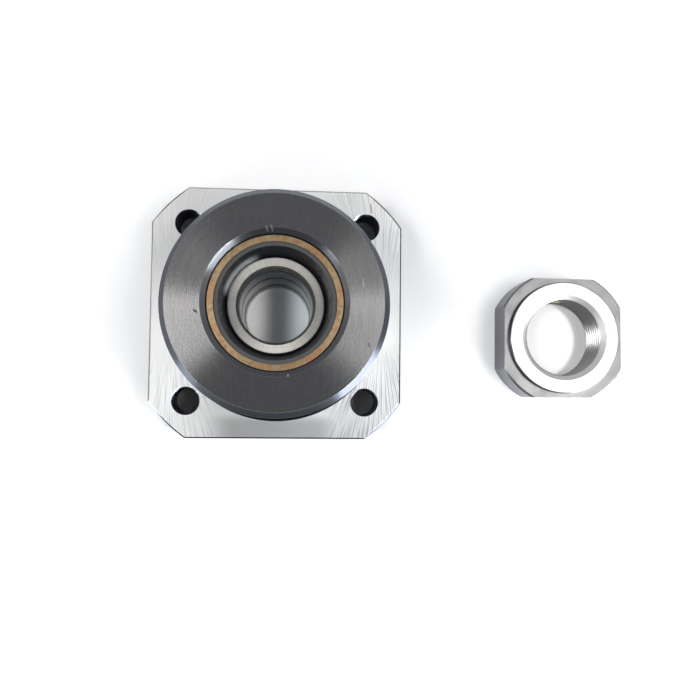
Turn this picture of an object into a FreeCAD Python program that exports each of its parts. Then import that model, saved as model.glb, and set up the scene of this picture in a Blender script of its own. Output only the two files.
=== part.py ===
"""Fixed-side end support for a 12 mm ball screw: a square-flanged housing with a bearing pair, seals
and collars, and its lock nut lying beside it.

+Z runs along the screw from the flange to the boss. The origin is on the bore axis in the mounting
face, which is the flange's boss side. The unit lies on the back of its flange, and the nut lies on the
same surface.
"""

import FreeCAD, Part
import math
import os
import re

import Sketcher

# Alias, value in millimetres, degrees or pieces, and what it measures
SIZES = (
    ("flange_width", 44, "across the flats of the square flange"),
    ("flange_corner_margin", 5, "turned corners of the flange, radially past the axes of the bolts"),
    ("flange_thickness", 10, "flange, back to mounting face"),
    ("flange_edge_break", 0.3, "chamfer round the flange's outline"),
    ("bolt_margin", 4, "axes of the mounting bolts, radially past the boss"),
    ("bolt_hole", 4.5, "mounting hole"),
    ("bolt_mouth_break", 0.25, "chamfer at the mounting hole's mouth"),
    ("counterbore_width", 8, "counterbore for the bolt head"),
    ("counterbore_depth", 4, "counterbore, from the back"),
    ("boss_wall", 4, "wall of the pilot boss round the bearings"),
    ("boss_length", 17, "boss, past the mounting face"),
    ("boss_lead_radial", 1, "lead-in at the boss's end, radially"),
    ("boss_lead_length", 1.6, "lead-in at the boss's end, along the axis"),
    ("relief_width", 1, "grinding relief round the foot of the boss"),
    ("relief_depth", 0.5, "grinding relief, below the mounting face"),
    ("seal_section", 2.8, "room for the boss seal, radially from the collar to its bore"),
    ("mouth_break", 0.8, "chamfer at the mouth of the seal bore"),
    ("bearing_bore", 12, "bore of the bearings and collars, the shaft's size"),
    ("bearing_outer", 28, "outside of the bearings"),
    ("bearing_width", 8, "width of one bearing"),
    ("bearing_fit", 0.01, "radial clearance of a bearing in the housing"),
    ("ring_corner", 0.5, "chamfer at the corners of the bearing rings"),
    ("ball_diameter", 4.762, "bearing ball"),
    ("ball_play", 0.02, "clearance of a ball in its raceway"),
    ("race_openness", 0.04, "raceway radius past the ball's radius, as a share of it"),
    ("contact_angle", 30, "contact angle of the bearings"),
    ("shoulder_gap", 1.6, "high shoulders of both rings, radially from the ball circle"),
    ("outer_relief_gap", 2.2, "relieved side of the outer ring, radially from the ball circle"),
    ("inner_relief_gap", 2.1, "relieved side of the inner ring, radially from the ball circle"),
    ("cage_wall", 2, "radial thickness of the cage, half of it each side of the ball circle"),
    ("cage_width", 6.4, "width of the cage"),
    ("pocket_play", 0.12, "clearance of a ball in its cage pocket"),
    ("lid_margin", 3.3, "retaining lid's edge, radially past the axes of its screws"),
    ("lid_clearance", 0.05, "radial clearance of the lid in its pocket"),
    ("lid_rim", 2.75, "thickness of the lid's rim"),
    ("lid_rim_gap", 0.1, "gap under the rim, so that the lid clamps the bearings"),
    ("lid_spigot", 0.5, "spigot that presses on the outer ring"),
    ("lid_seal_section", 3, "room for the lid seal, radially from the collar to its bore"),
    ("lid_corner", 0.3, "chamfer round the lid"),
    ("scallop_margin", 0.3, "clearance of the lid's scallops round the bolt heads"),
    ("screw_margin", 2.2, "axes of the lid screws, radially past the bearings' outside"),
    ("screw_diameter", 3, "lid screw"),
    ("screw_length", 7, "lid screw, with its head"),
    ("screw_head", 5.5, "countersunk head"),
    ("screw_socket", 2, "across the flats of the screw's socket"),
    ("screw_socket_depth", 1.2, "depth of the screw's socket"),
    ("screw_hole", 3.2, "clearance hole in the lid"),
    ("screw_fit", 0.01, "radial clearance at the thread's crest"),
    ("screw_sink", 0.05, "how far the heads lie below the lid's face"),
    ("tapped_depth", 6, "tapped hole, from the pocket's floor"),
    ("collar_wall", 2, "radial thickness of the collars"),
    ("boss_collar_recess", 5, "boss collar, below the end of the boss"),
    ("lid_collar_length", 2.75, "length of the lid collar"),
    ("collar_corner", 0.3, "chamfer on the outside of a collar"),
    ("collar_mouth", 0.4, "chamfer at the mouth of a collar's bore"),
    ("lip_clearance", 0.05, "gap between a lip and its collar"),
    ("seal_inset", 1, "boss seal, below the end of the boss"),
    ("seal_width", 5.5, "width of the boss seal"),
    ("seal_fit", 0.01, "radial gap at the pressed and bonded faces"),
    ("seal_jacket", 0.2, "rubber between the seal's case and the bore"),
    ("seal_jacket_drop", 0.6, "jacket, below the case's face"),
    ("case_ring", 0.95, "radial width of the seal case's bare face"),
    ("case_thickness", 0.5, "sheet of the seal cases"),
    ("lip_slope", 0.95, "slope of the boss seal's lip, radially"),
    ("lip_face_drop", 0.4, "flat of the rubber, below the case's face"),
    ("lip_tip_height", 0.9, "top of the lip's running land, from the seal's foot"),
    ("lip_land", 0.3, "height of a lip's running land"),
    ("lid_seal_width", 2.7, "width of the lid seal"),
    ("lid_seal_inset", 0.25, "lid seal, from the lid's face"),
    ("lid_lip_width", 1.25, "lid seal's bare rubber, radially from its lip to its case"),
    ("nut_width", 22, "across the flats of the lock nut"),
    ("nut_turned", 25, "turned diameter left at the nut's corners"),
    ("nut_square", 7, "height of the nut's square part"),
    ("nut_face_diameter", 20.5, "raised round face of the nut"),
    ("nut_face_rise", 1, "rise of the nut's round face"),
    ("nut_corner", 0.35, "chamfer round the nut's corners"),
    ("nut_thread", 15, "thread's major diameter"),
    ("nut_thread_pitch", 1, "thread's pitch"),
    ("nut_sink", 0.35, "countersinks at the thread's mouths, radially past the thread"),
    ("nut_sink_slope", 30, "slope of the countersinks, from the nut's faces"),
    ("nut_across", 52.7, "nut's axis, along X from the unit's axis"),
    ("nut_back", -3.3, "nut's axis, along Y from the unit's axis"),
    ("slug_diameter", 2.3, "soft slug under the set screw"),
    ("slug_length", 1.5, "soft slug"),
    ("slug_gap", 0.05, "slug, from the thread's crest"),
    ("set_screw_diameter", 3, "set screw"),
    ("set_screw_socket", 1.5, "across the flats of the set screw's socket"),
    ("set_screw_socket_depth", 1.2, "depth of the set screw's socket"),
    ("set_screw_sink", 0.1, "set screw, below the nut's flat"),
)
BALL_COUNT = 10
BOLT_COUNT = 4
LID_SCREW_COUNT = 4
TOUCH = 1e-4  # Edges are told apart by their places to this many millimetres

# Lengths and radii that several pieces share, as expressions; heights are from the back of the flange
LID_SEAT = "(lid_rim + lid_spigot)"
LID_POCKET_DEPTH = "(lid_rim + lid_rim_gap)"
BEARING_SHOULDER = f"({LID_SEAT} + 2 * bearing_width)"
HOUSING_TOP = "(flange_thickness + boss_length)"
BALL_CIRCLE = "((bearing_bore + bearing_outer) / 4)"
SCREW_CIRCLE = "(bearing_outer / 2 + screw_margin)"
LID_RADIUS = f"({SCREW_CIRCLE} + lid_margin)"
BOSS_RADIUS = "(bearing_outer / 2 + boss_wall)"
BOLT_RADIUS = f"({BOSS_RADIUS} + bolt_margin)"
BOLT_PLACE = f"({BOLT_RADIUS} * cos(45))"
CORNER_RADIUS = f"({BOLT_RADIUS} + flange_corner_margin)"
RACE_RADIUS = "(ball_diameter / 2 * (1 + race_openness))"
RACE_OFFSET = f"({RACE_RADIUS} - ball_diameter / 2 - ball_play)"
THREAD_CREST = "(nut_thread / 2 - nut_thread_pitch * cos(30) * 5 / 8)"
NUT_MOUTH = "(nut_thread / 2 + nut_sink)"
COLLAR_RADIUS = "(bearing_bore / 2 + collar_wall)"
LIP_RADIUS = f"({COLLAR_RADIUS} + lip_clearance)"
SEAL_BORE = f"({COLLAR_RADIUS} + seal_section)"
LID_BORE = f"({COLLAR_RADIUS} + lid_seal_section)"

doc = FreeCAD.newDocument("ball_screw_end_support")
sheet = doc.addObject("Spreadsheet::Sheet", "sizes")
for row, (alias, size, meaning) in enumerate(SIZES, start=1):
    sheet.set(f"A{row}", meaning)
    sheet.set(f"B{row}", str(size))
    sheet.setAlias(f"B{row}", alias)
doc.recompute()
ALIASES = {alias for alias, size, meaning in SIZES}


def formula(expression):
    """The expression with each alias written as the sheet's own."""
    def as_cell(word):
        return f"sizes.{word[0]}" if word[0] in ALIASES else word[0]

    return re.sub(r"[a-z_]+", as_cell, expression)


def value(expression):
    """The expression's value with the sheet's present sizes."""
    return float(sheet.evalExpression(formula(expression)))


def bind(item, setting, expression):
    """Ties one setting of an object to an expression of the sizes."""
    item.setExpression(setting, formula(expression))


def new_body(label, height="0"):
    """An empty body, set at a height above the mounting face."""
    body = doc.addObject("PartDesign::Body", label)
    body.Label = label
    body.AllowCompound = True
    bind(body, "Placement.Base.z", height)
    return body


def origin_item(body, role):
    """One of the body's own origin planes or axes."""
    return next(item for item in body.Origin.OriginFeatures if item.Role == role)


def new_sketch(body, plane, across="0", up="0", out="0"):
    """A sketch flat on one of the body's origin planes, shifted within that plane and out of it."""
    sketch = body.newObject("Sketcher::SketchObject", f"{body.Label}_sketch")
    sketch.AttachmentSupport = (origin_item(body, plane), "")
    sketch.MapMode = "FlatFace"
    for axis, expression in zip("xyz", (across, up, out)):
        bind(sketch, f"AttachmentOffset.Base.{axis}", expression)
    return sketch


def pin_point(sketch, edge, end, across, up):
    """Holds a point at two expressions, or on the sketch's axis where one of them is nought."""
    for kind, expression, axis in (("DistanceX", across, -2), ("DistanceY", up, -1)):
        if expression == "0":
            sketch.addConstraint(Sketcher.Constraint("PointOnObject", edge, end, axis))
        else:
            place = sketch.addConstraint(Sketcher.Constraint(kind, edge, end, value(expression)))
            bind(sketch, f"Constraints[{place}]", expression)


def draw_outline(sketch, corners):
    """Straight lines through the corners and back to the first; a corner is two expressions."""
    points = [FreeCAD.Vector(value(across), value(up), 0) for across, up in corners]
    first = sketch.GeometryCount
    count = len(points)
    for k in range(count):
        sketch.addGeometry(Part.LineSegment(points[k], points[(k + 1) % count]), False)
    for k in range(count):
        sketch.addConstraint(Sketcher.Constraint("Coincident", first + k, 2, first + (k + 1) % count, 1))
        pin_point(sketch, first + k, 1, *corners[k])


def draw_circle(sketch, across, up, radius):
    """A circle held at its centre and by its radius."""
    centre = FreeCAD.Vector(value(across), value(up), 0)
    edge = sketch.addGeometry(Part.Circle(centre, FreeCAD.Vector(0, 0, 1), value(radius)), False)
    pin_point(sketch, edge, 3, across, up)
    place = sketch.addConstraint(Sketcher.Constraint("Radius", edge, value(radius)))
    bind(sketch, f"Constraints[{place}]", radius)


def draw_square(sketch, half):
    """A square about the sketch's origin, half its width given."""
    draw_outline(sketch, [(half, half), (f"-{half}", half), (f"-{half}", f"-{half}"), (half, f"-{half}")])


def draw_hexagon(sketch, flats):
    """A hexagon about the sketch's origin, across its flats given."""
    side, low, tip = f"{flats} / 2", f"{flats} / sqrt(12)", f"{flats} / sqrt(3)"
    draw_outline(sketch, [
        (side, low), ("0", tip), (f"-{side}", low), (f"-{side}", f"-{low}"), ("0", f"-{tip}"),
        (side, f"-{low}"),
    ])


def turn(body, corners, across="0"):
    """A turned solid: the outline's corners are radius and height, about an axis set across the body."""
    sketch = new_sketch(body, "XZ_Plane", across)
    draw_outline(sketch, corners)
    solid = body.newObject("PartDesign::Revolution", f"{body.Label}_turned")
    solid.Profile = sketch
    solid.ReferenceAxis = (sketch, ["V_Axis"])
    solid.Angle = 360
    doc.recompute()
    return solid


def check_cut(body, before):
    """A cut that removes nothing points the wrong way."""
    doc.recompute()
    if body.Shape.Volume > before - 1e-6:
        raise RuntimeError(f"a cut in {body.Label} removed nothing")


def cut(body, sketch, length, along_normal=True):
    """A pocket of a given length, along the sketch plane's normal or against it."""
    before = body.Shape.Volume
    pocket = body.newObject("PartDesign::Pocket", f"{body.Label}_pocket")
    pocket.Profile = sketch
    pocket.Reversed = along_normal
    bind(pocket, "Length", length)
    check_cut(body, before)
    return pocket


def cut_ring(body, across, up, radius):
    """A round groove ground about the body's axis: its section is a circle."""
    before = body.Shape.Volume
    sketch = new_sketch(body, "XZ_Plane")
    draw_circle(sketch, across, up, radius)
    groove = body.newObject("PartDesign::Groove", f"{body.Label}_raceway")
    groove.Profile = sketch
    groove.ReferenceAxis = (sketch, ["V_Axis"])
    groove.Angle = 360
    check_cut(body, before)


def repeat(body, features, count):
    """The features again round the body's axis."""
    before = body.Shape.Volume
    pattern = body.newObject("PartDesign::PolarPattern", f"{body.Label}_pattern")
    pattern.Originals = features
    pattern.Axis = (origin_item(body, "Z_Axis"), [""])
    pattern.Angle = 360
    pattern.Occurrences = count
    body.Tip = pattern
    doc.recompute()
    if abs(body.Shape.Volume - before) < 1e-6:
        raise RuntimeError(f"a pattern in {body.Label} changed nothing")


def break_edges(body, size, wanted):
    """A chamfer on each edge that the test picks."""
    base = body.Tip
    names = [f"Edge{k}" for k, edge in enumerate(base.Shape.Edges, start=1) if wanted(edge)]
    chamfer = body.newObject("PartDesign::Chamfer", f"{body.Label}_break")
    chamfer.Base = (base, names)
    bind(chamfer, "Size", size)
    doc.recompute()


def level_edge(edge, height):
    """Whether an edge lies flat at a height."""
    box = edge.BoundBox
    return abs(box.ZMin - height) < TOUCH and abs(box.ZMax - height) < TOUCH


def square_off(body, width, turned, length):
    """Mills four flats on a turned blank, from its foot up: what lies between two squares goes."""
    sketch = new_sketch(body, "XY_Plane")
    draw_square(sketch, f"{width} / 2")
    draw_square(sketch, turned)
    cut(body, sketch, length)


def make_housing():
    """The one-piece steel housing: a turned blank, milled square, drilled, counterbored and tapped."""
    body = new_body("housing", "-flange_thickness")
    boss, bearing = BOSS_RADIUS, "bearing_outer / 2 + bearing_fit"
    pocket = f"{LID_RADIUS} + lid_clearance"
    relief_floor = "flange_thickness - relief_depth"
    turn(body, [
        (pocket, "0"), (CORNER_RADIUS, "0"), (CORNER_RADIUS, "flange_thickness"),
        (f"{boss} + relief_width", "flange_thickness"), (f"{boss} + relief_width / 2", relief_floor),
        (boss, relief_floor), (boss, f"{HOUSING_TOP} - boss_lead_length"),
        (f"{boss} - boss_lead_radial", HOUSING_TOP), (f"{SEAL_BORE} + mouth_break", HOUSING_TOP),
        (SEAL_BORE, f"{HOUSING_TOP} - mouth_break"), (SEAL_BORE, BEARING_SHOULDER),
        (bearing, BEARING_SHOULDER), (bearing, LID_POCKET_DEPTH), (pocket, LID_POCKET_DEPTH),
    ])
    square_off(body, "flange_width", CORNER_RADIUS, "flange_thickness")

    bolt = new_sketch(body, "XY_Plane")
    draw_circle(bolt, BOLT_PLACE, BOLT_PLACE, "bolt_hole / 2")
    hole = cut(body, bolt, "flange_thickness")
    head = new_sketch(body, "XY_Plane")
    draw_circle(head, BOLT_PLACE, BOLT_PLACE, "counterbore_width / 2")
    counterbore = cut(body, head, "counterbore_depth")
    repeat(body, [hole, counterbore], BOLT_COUNT)

    tapped = new_sketch(body, "XY_Plane", out=LID_POCKET_DEPTH)
    draw_circle(tapped, SCREW_CIRCLE, "0", "screw_diameter / 2 + screw_fit")
    repeat(body, [cut(body, tapped, "tapped_depth")], LID_SCREW_COUNT)

    face, mouth = value("flange_thickness"), value("bolt_hole / 2")
    side, corner = value("flange_width / 2"), value(CORNER_RADIUS)

    def on_outline(edge):
        middle = edge.valueAt((edge.FirstParameter + edge.LastParameter) / 2)
        on_side = max(abs(middle.x), abs(middle.y)) > side - TOUCH
        on_corner = math.hypot(middle.x, middle.y) > corner - TOUCH
        return (on_side or on_corner) and (level_edge(edge, face) or level_edge(edge, 0))

    def at_mouth(edge):
        is_round = isinstance(edge.Curve, Part.Circle) and abs(edge.Curve.Radius - mouth) < TOUCH
        return is_round and level_edge(edge, face)

    break_edges(body, "bolt_mouth_break", at_mouth)
    wall = f"(flange_width / 2 - {BOLT_PLACE} - counterbore_width / 2)"
    break_edges(body, f"min(flange_edge_break; {wall} / 2)", on_outline)
    return body


def make_lid():
    """The retaining lid: a turned disc whose spigot clamps the outer rings, scalloped at the bolt heads."""
    body = new_body("retaining_lid", "-flange_thickness")
    rim, spigot = LID_RADIUS, "bearing_outer / 2 - lid_clearance"
    turn(body, [
        (LID_BORE, "0"), (f"{rim} - lid_corner", "0"), (rim, "lid_corner"), (rim, "lid_rim"),
        (spigot, "lid_rim"), (spigot, LID_SEAT), (LID_BORE, LID_SEAT),
    ])
    scallop = new_sketch(body, "XY_Plane")
    draw_circle(scallop, BOLT_PLACE, BOLT_PLACE, "counterbore_width / 2 + scallop_margin")
    repeat(body, [cut(body, scallop, LID_SEAT)], BOLT_COUNT)

    shank = new_sketch(body, "XY_Plane")
    draw_circle(shank, SCREW_CIRCLE, "0", "screw_hole / 2")
    hole = cut(body, shank, LID_SEAT)
    before = body.Shape.Volume
    seat = new_sketch(body, "XZ_Plane", SCREW_CIRCLE)
    seat_top = "(screw_head / 2 + 2 * screw_sink)"
    draw_outline(seat, [("0", "0"), (seat_top, "0"), ("0", seat_top)])
    countersink = body.newObject("PartDesign::Groove", "retaining_lid_countersink")
    countersink.Profile = seat
    countersink.ReferenceAxis = (seat, ["V_Axis"])
    countersink.Angle = 360
    check_cut(body, before)
    repeat(body, [hole, countersink], LID_SCREW_COUNT)
    return body


def make_lid_screws():
    """The lid's countersunk screws with hexagon sockets, one group of separate solids."""
    body = new_body("lid_screws", "screw_sink - flange_thickness")
    shank = "screw_diameter / 2"
    blank = turn(body, [
        ("0", "0"), ("screw_head / 2", "0"), (shank, "(screw_head - screw_diameter) / 2"),
        (shank, "screw_length - screw_diameter / 8"), ("screw_diameter * 3 / 8", "screw_length"),
        ("0", "screw_length"),
    ], across=SCREW_CIRCLE)
    key = new_sketch(body, "XY_Plane", SCREW_CIRCLE)
    draw_hexagon(key, "screw_socket")
    socket = cut(body, key, "screw_socket_depth")
    repeat(body, [blank, socket], LID_SCREW_COUNT)
    return body


def make_outer_ring(body):
    """An outer ring: its high shoulder is at the top, its relieved side at the foot."""
    outside, corner = "bearing_outer / 2", "ring_corner"
    shoulder, relief = f"{BALL_CIRCLE} + shoulder_gap", f"{BALL_CIRCLE} + outer_relief_gap"
    turn(body, [
        (f"{outside} - {corner}", "0"), (outside, corner), (outside, f"bearing_width - {corner}"),
        (f"{outside} - {corner}", "bearing_width"), (shoulder, "bearing_width"),
        (shoulder, "bearing_width / 2"), (relief, "bearing_width / 2"), (relief, "0"),
    ])
    cut_ring(body, f"{BALL_CIRCLE} - {RACE_OFFSET} * cos(contact_angle)",
             f"bearing_width / 2 - {RACE_OFFSET} * sin(contact_angle)", RACE_RADIUS)


def make_inner_ring(body):
    """An inner ring: its high shoulder is at the foot, its relieved side at the top."""
    bore, corner = "bearing_bore / 2", "ring_corner"
    shoulder, relief = f"{BALL_CIRCLE} - shoulder_gap", f"{BALL_CIRCLE} - inner_relief_gap"
    turn(body, [
        (f"{bore} + {corner}", "0"), (shoulder, "0"), (shoulder, "bearing_width / 2"),
        (relief, "bearing_width / 2"), (relief, "bearing_width"),
        (f"{bore} + {corner}", "bearing_width"), (bore, f"bearing_width - {corner}"), (bore, corner),
    ])
    cut_ring(body, f"{BALL_CIRCLE} + {RACE_OFFSET} * cos(contact_angle)",
             f"bearing_width / 2 + {RACE_OFFSET} * sin(contact_angle)", RACE_RADIUS)


def make_cage(body):
    """A one-piece cage: a ring with a round pocket drilled through it for each ball."""
    foot, top = "(bearing_width - cage_width) / 2", "(bearing_width + cage_width) / 2"
    inside, outside = f"{BALL_CIRCLE} - cage_wall / 2", f"{BALL_CIRCLE} + cage_wall / 2"
    turn(body, [(inside, foot), (outside, foot), (outside, top), (inside, top)])
    sketch = new_sketch(body, "XZ_Plane")
    draw_circle(sketch, "0", "bearing_width / 2", "ball_diameter / 2 + pocket_play")
    repeat(body, [cut(body, sketch, "bearing_outer")], BALL_COUNT)


def make_bearing(name, height, flipped):
    """One angular contact bearing; the pair lies face to face, so the lower one is turned over."""
    pieces = []
    builders = (("outer_ring", make_outer_ring), ("inner_ring", make_inner_ring), ("cage", make_cage))
    for piece, build in builders:
        body = new_body(f"{name}_bearing_{piece}", f"{height} - flange_thickness")
        build(body)
        if flipped:
            body.Placement.Rotation = FreeCAD.Rotation(FreeCAD.Vector(1, 0, 0), 180)
            bind(body, "Placement.Base.z", f"{height} + bearing_width - flange_thickness")
        pieces.append(body)
    for k in range(BALL_COUNT):
        ball = doc.addObject("Part::Sphere", f"{name}_ball_{k + 1:02d}")
        ball.Label = f"{name}_ball_{k + 1:02d}"
        bind(ball, "Radius", "ball_diameter / 2")
        bind(ball, "Placement.Base.x", f"{BALL_CIRCLE} * cos({90 + 360 * k / BALL_COUNT})")
        bind(ball, "Placement.Base.y", f"{BALL_CIRCLE} * sin({90 + 360 * k / BALL_COUNT})")
        bind(ball, "Placement.Base.z", f"{height} + bearing_width / 2 - flange_thickness")
        pieces.append(ball)
    return pieces


def make_collar(name, height, length, flipped):
    """A ground spacer: its foot presses on an inner ring, and a lip runs on its outside."""
    body = new_body(name, f"{height} - flange_thickness")
    bore, outside = "bearing_bore / 2", COLLAR_RADIUS
    turn(body, [
        (f"{bore} + collar_corner", "0"), (f"{outside} - collar_corner", "0"), (outside, "collar_corner"),
        (outside, f"{length} - collar_corner"), (f"{outside} - collar_corner", length),
        (f"{bore} + collar_mouth", length), (bore, f"{length} - collar_mouth"), (bore, "collar_corner"),
    ])
    if flipped:
        body.Placement.Rotation = FreeCAD.Rotation(FreeCAD.Vector(1, 0, 0), 180)
    return body


def make_boss_seal():
    """The boss seal: a bare metal ring bonded into rubber, whose lip slopes down to the collar."""
    height = "boss_length - seal_inset - seal_width"
    jacket = f"{SEAL_BORE} - seal_fit"
    case = f"({jacket} - seal_jacket)"
    sleeve = f"({case} - case_thickness)"
    ring_inner = f"({case} - case_ring)"
    case_foot = "seal_width - case_thickness"
    sleeve_foot = "case_thickness"
    outer_side, inner_side = f"{case} + seal_fit", f"{sleeve} - seal_fit"
    below_face = f"{case_foot} - seal_fit"

    ring = new_body("boss_seal_ring", height)
    turn(ring, [
        (sleeve, sleeve_foot), (case, sleeve_foot), (case, "seal_width"), (ring_inner, "seal_width"),
        (ring_inner, case_foot), (sleeve, case_foot),
    ])
    lip = new_body("boss_seal_lip", height)
    flat, jacket_top = "seal_width - lip_face_drop", "seal_width - seal_jacket_drop"
    turn(lip, [
        (jacket, "0"), (jacket, jacket_top), (outer_side, jacket_top),
        (outer_side, f"{sleeve_foot} - seal_fit"), (inner_side, f"{sleeve_foot} - seal_fit"),
        (inner_side, below_face), (f"{ring_inner} - seal_fit", below_face),
        (f"{ring_inner} - seal_fit", flat), (f"{LIP_RADIUS} + lip_slope", flat),
        (LIP_RADIUS, "lip_tip_height"), (LIP_RADIUS, "lip_tip_height - lip_land"),
        (f"{LIP_RADIUS} + lip_slope / 2", "0"),
    ])
    return [ring, lip]


def make_lid_seal():
    """The lid seal: a thin metal case pressed into the lid, and its rubber lip."""
    height = "lid_seal_inset - flange_thickness"
    outside = f"({LID_BORE} - seal_fit)"
    sleeve = f"({outside} - case_thickness)"
    throat = f"({LIP_RADIUS} + lid_lip_width)"
    case = new_body("lid_seal_case", height)
    turn(case, [
        (throat, "0"), (outside, "0"), (outside, "lid_seal_width"), (sleeve, "lid_seal_width"),
        (sleeve, "case_thickness"), (throat, "case_thickness"),
    ])
    lip = new_body("lid_seal_lip", height)
    inner_face = "case_thickness + seal_fit"
    turn(lip, [
        (f"{LIP_RADIUS} + case_thickness", "0"), (f"{throat} - seal_fit", "0"),
        (f"{throat} - seal_fit", inner_face), (f"{sleeve} - seal_fit", inner_face),
        (f"{sleeve} - seal_fit", "lid_seal_width - case_thickness"),
        (throat, "lid_seal_width - case_thickness"),
        (LIP_RADIUS, "lid_seal_width / 2 + lip_land"), (LIP_RADIUS, "lid_seal_width / 2"),
    ])
    return [case, lip]


def make_nut():
    """The lock nut: a turned blank with a raised round face, milled square, tapped and cross-drilled."""
    body = new_body("lock_nut", "-flange_thickness")
    bind(body, "Placement.Base.x", "nut_across")
    bind(body, "Placement.Base.y", "nut_back")
    rim, corner, face = "nut_turned / 2", "nut_corner", "nut_face_diameter / 2"
    top = "(nut_square + nut_face_rise)"
    sink = f"({NUT_MOUTH} - {THREAD_CREST}) * tan(nut_sink_slope)"
    turn(body, [
        (NUT_MOUTH, "0"), (f"{rim} - {corner}", "0"), (rim, corner), (rim, f"nut_square - {corner}"),
        (f"{rim} - {corner}", "nut_square"), (face, "nut_square"), (face, f"{top} - nut_face_rise / 5"),
        (f"{face} - nut_face_rise / 5", top), (NUT_MOUTH, top), (THREAD_CREST, f"{top} - {sink}"),
        (THREAD_CREST, sink),
    ])
    square_off(body, "nut_width", "nut_turned", "nut_square")
    cross = new_sketch(body, "XZ_Plane")
    draw_circle(cross, "0", "nut_square / 2", "set_screw_diameter / 2 + screw_fit")
    cut(body, cross, "nut_turned", along_normal=False)
    return body


def make_nut_lock():
    """The soft slug in the nut's cross hole and the set screw that presses it on the thread."""
    slug = doc.addObject("Part::Cylinder", "nut_slug")
    slug.Label = "nut_slug"
    bind(slug, "Radius", "slug_diameter / 2")
    bind(slug, "Height", "slug_length")
    screw = new_body("nut_set_screw")
    slug_foot = f"({THREAD_CREST} + slug_gap)"
    length = f"(nut_width / 2 - set_screw_sink - {slug_foot} - slug_length - screw_fit)"
    thread, chamfer = "set_screw_diameter / 2", "set_screw_diameter / 10"
    turn(screw, [
        ("0", "0"), (f"{thread} - {chamfer}", "0"), (thread, chamfer), (thread, f"{length} - {chamfer}"),
        (f"{thread} - {chamfer}", length), ("0", length),
    ])
    key = new_sketch(screw, "XY_Plane", out=f"{length} - set_screw_socket_depth")
    draw_hexagon(key, "set_screw_socket")
    cut(screw, key, "set_screw_socket_depth")
    for piece, foot in ((slug, slug_foot), (screw, f"{slug_foot} + slug_length + screw_fit")):
        piece.Placement.Rotation = FreeCAD.Rotation(FreeCAD.Vector(1, 0, 0), -90)
        bind(piece, "Placement.Base.x", "nut_across")
        bind(piece, "Placement.Base.y", f"nut_back + {foot}")
        bind(piece, "Placement.Base.z", "nut_square / 2 - flange_thickness")
    return [slug, screw]


pieces = [make_housing(), make_lid(), make_lid_screws()]
pieces += make_bearing("upper", f"{LID_SEAT} + bearing_width", flipped=False)
pieces += make_bearing("lower", LID_SEAT, flipped=True)
boss_collar_length = f"max({HOUSING_TOP} - {BEARING_SHOULDER} - boss_collar_recess; 3 * collar_mouth)"
pieces += [make_collar("boss_collar", BEARING_SHOULDER, boss_collar_length, flipped=False)]
pieces += [make_collar("lid_collar", LID_SEAT, "lid_collar_length", flipped=True)]
pieces += make_boss_seal()
pieces += make_lid_seal()
pieces += [make_nut()]
pieces += make_nut_lock()
doc.recompute()

for item in doc.Objects:
    if "Invalid" in item.State or "Error" in item.State:
        raise RuntimeError(f"{item.Label} did not compute: {item.State}")
for piece in pieces:
    if piece.Shape.isNull() or not piece.Shape.isValid():
        raise RuntimeError(f"{piece.Label} has no valid shape")

os.makedirs("parts", exist_ok=True)
for piece in pieces:
    piece.Shape.exportStep(f"parts/{piece.Label}.step")
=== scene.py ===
"""Finishes of the ball screw end support, and the real threads of its screws and its lock nut.

The sections follow the unit as it is put together. Lengths are in metres, and the unit's axis is the
Z axis through the origin.
"""

import math

import bmesh
import bpy
import numpy as np
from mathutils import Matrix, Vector


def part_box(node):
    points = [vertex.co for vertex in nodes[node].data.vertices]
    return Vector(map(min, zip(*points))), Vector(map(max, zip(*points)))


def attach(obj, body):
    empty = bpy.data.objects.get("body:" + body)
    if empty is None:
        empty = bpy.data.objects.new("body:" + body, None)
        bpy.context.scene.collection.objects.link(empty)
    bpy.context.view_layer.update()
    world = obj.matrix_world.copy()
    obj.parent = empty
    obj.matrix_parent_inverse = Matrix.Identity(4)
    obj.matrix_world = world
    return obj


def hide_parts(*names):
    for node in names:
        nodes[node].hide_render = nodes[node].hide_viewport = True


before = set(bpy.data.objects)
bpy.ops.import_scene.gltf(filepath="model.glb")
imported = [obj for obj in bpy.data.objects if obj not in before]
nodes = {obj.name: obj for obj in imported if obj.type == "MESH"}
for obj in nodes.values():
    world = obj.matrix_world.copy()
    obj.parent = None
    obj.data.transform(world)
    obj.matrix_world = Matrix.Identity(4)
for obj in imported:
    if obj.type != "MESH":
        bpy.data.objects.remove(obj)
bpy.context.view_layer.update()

mm = 0.001

# Housing
# One piece of carbon steel: turned, milled square, drilled and counterbored, then blackened all over.
# The mounting face, the outside of the boss and the bearing seat are cut bright after the blackening.


def add(tree, kind, inputs=None, **settings):
    """One node of a tree: settings are its own, and each input takes a value or another node's socket."""
    node = tree.nodes.new("ShaderNode" + kind)
    for name, choice in settings.items():
        setattr(node, name, choice)
    for place, source in (inputs or {}).items():
        if isinstance(source, bpy.types.NodeSocket):
            tree.links.new(source, node.inputs[place])
        else:
            node.inputs[place].default_value = source
    return node


def reckon(tree, operation, *terms):
    """The result of one step of arithmetic on numbers and sockets."""
    return add(tree, "Math", dict(enumerate(terms)), operation=operation).outputs[0]


def gather(tree, operation, terms):
    """Numbers and sockets joined by one operation, from the first to the last."""
    whole = terms[0]
    for term in terms[1:]:
        whole = reckon(tree, operation, whole, term)
    return whole


def times(tree, *terms):
    """The product of numbers and sockets."""
    return gather(tree, "MULTIPLY", terms)


def plus(tree, *terms):
    """The sum of numbers and sockets."""
    return gather(tree, "ADD", terms)


def largest(tree, *terms):
    """The largest of numbers and sockets."""
    return gather(tree, "MAXIMUM", terms)


def unsigned(tree, term):
    """A socket's value without its sign."""
    return reckon(tree, "ABSOLUTE", term)


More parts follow.
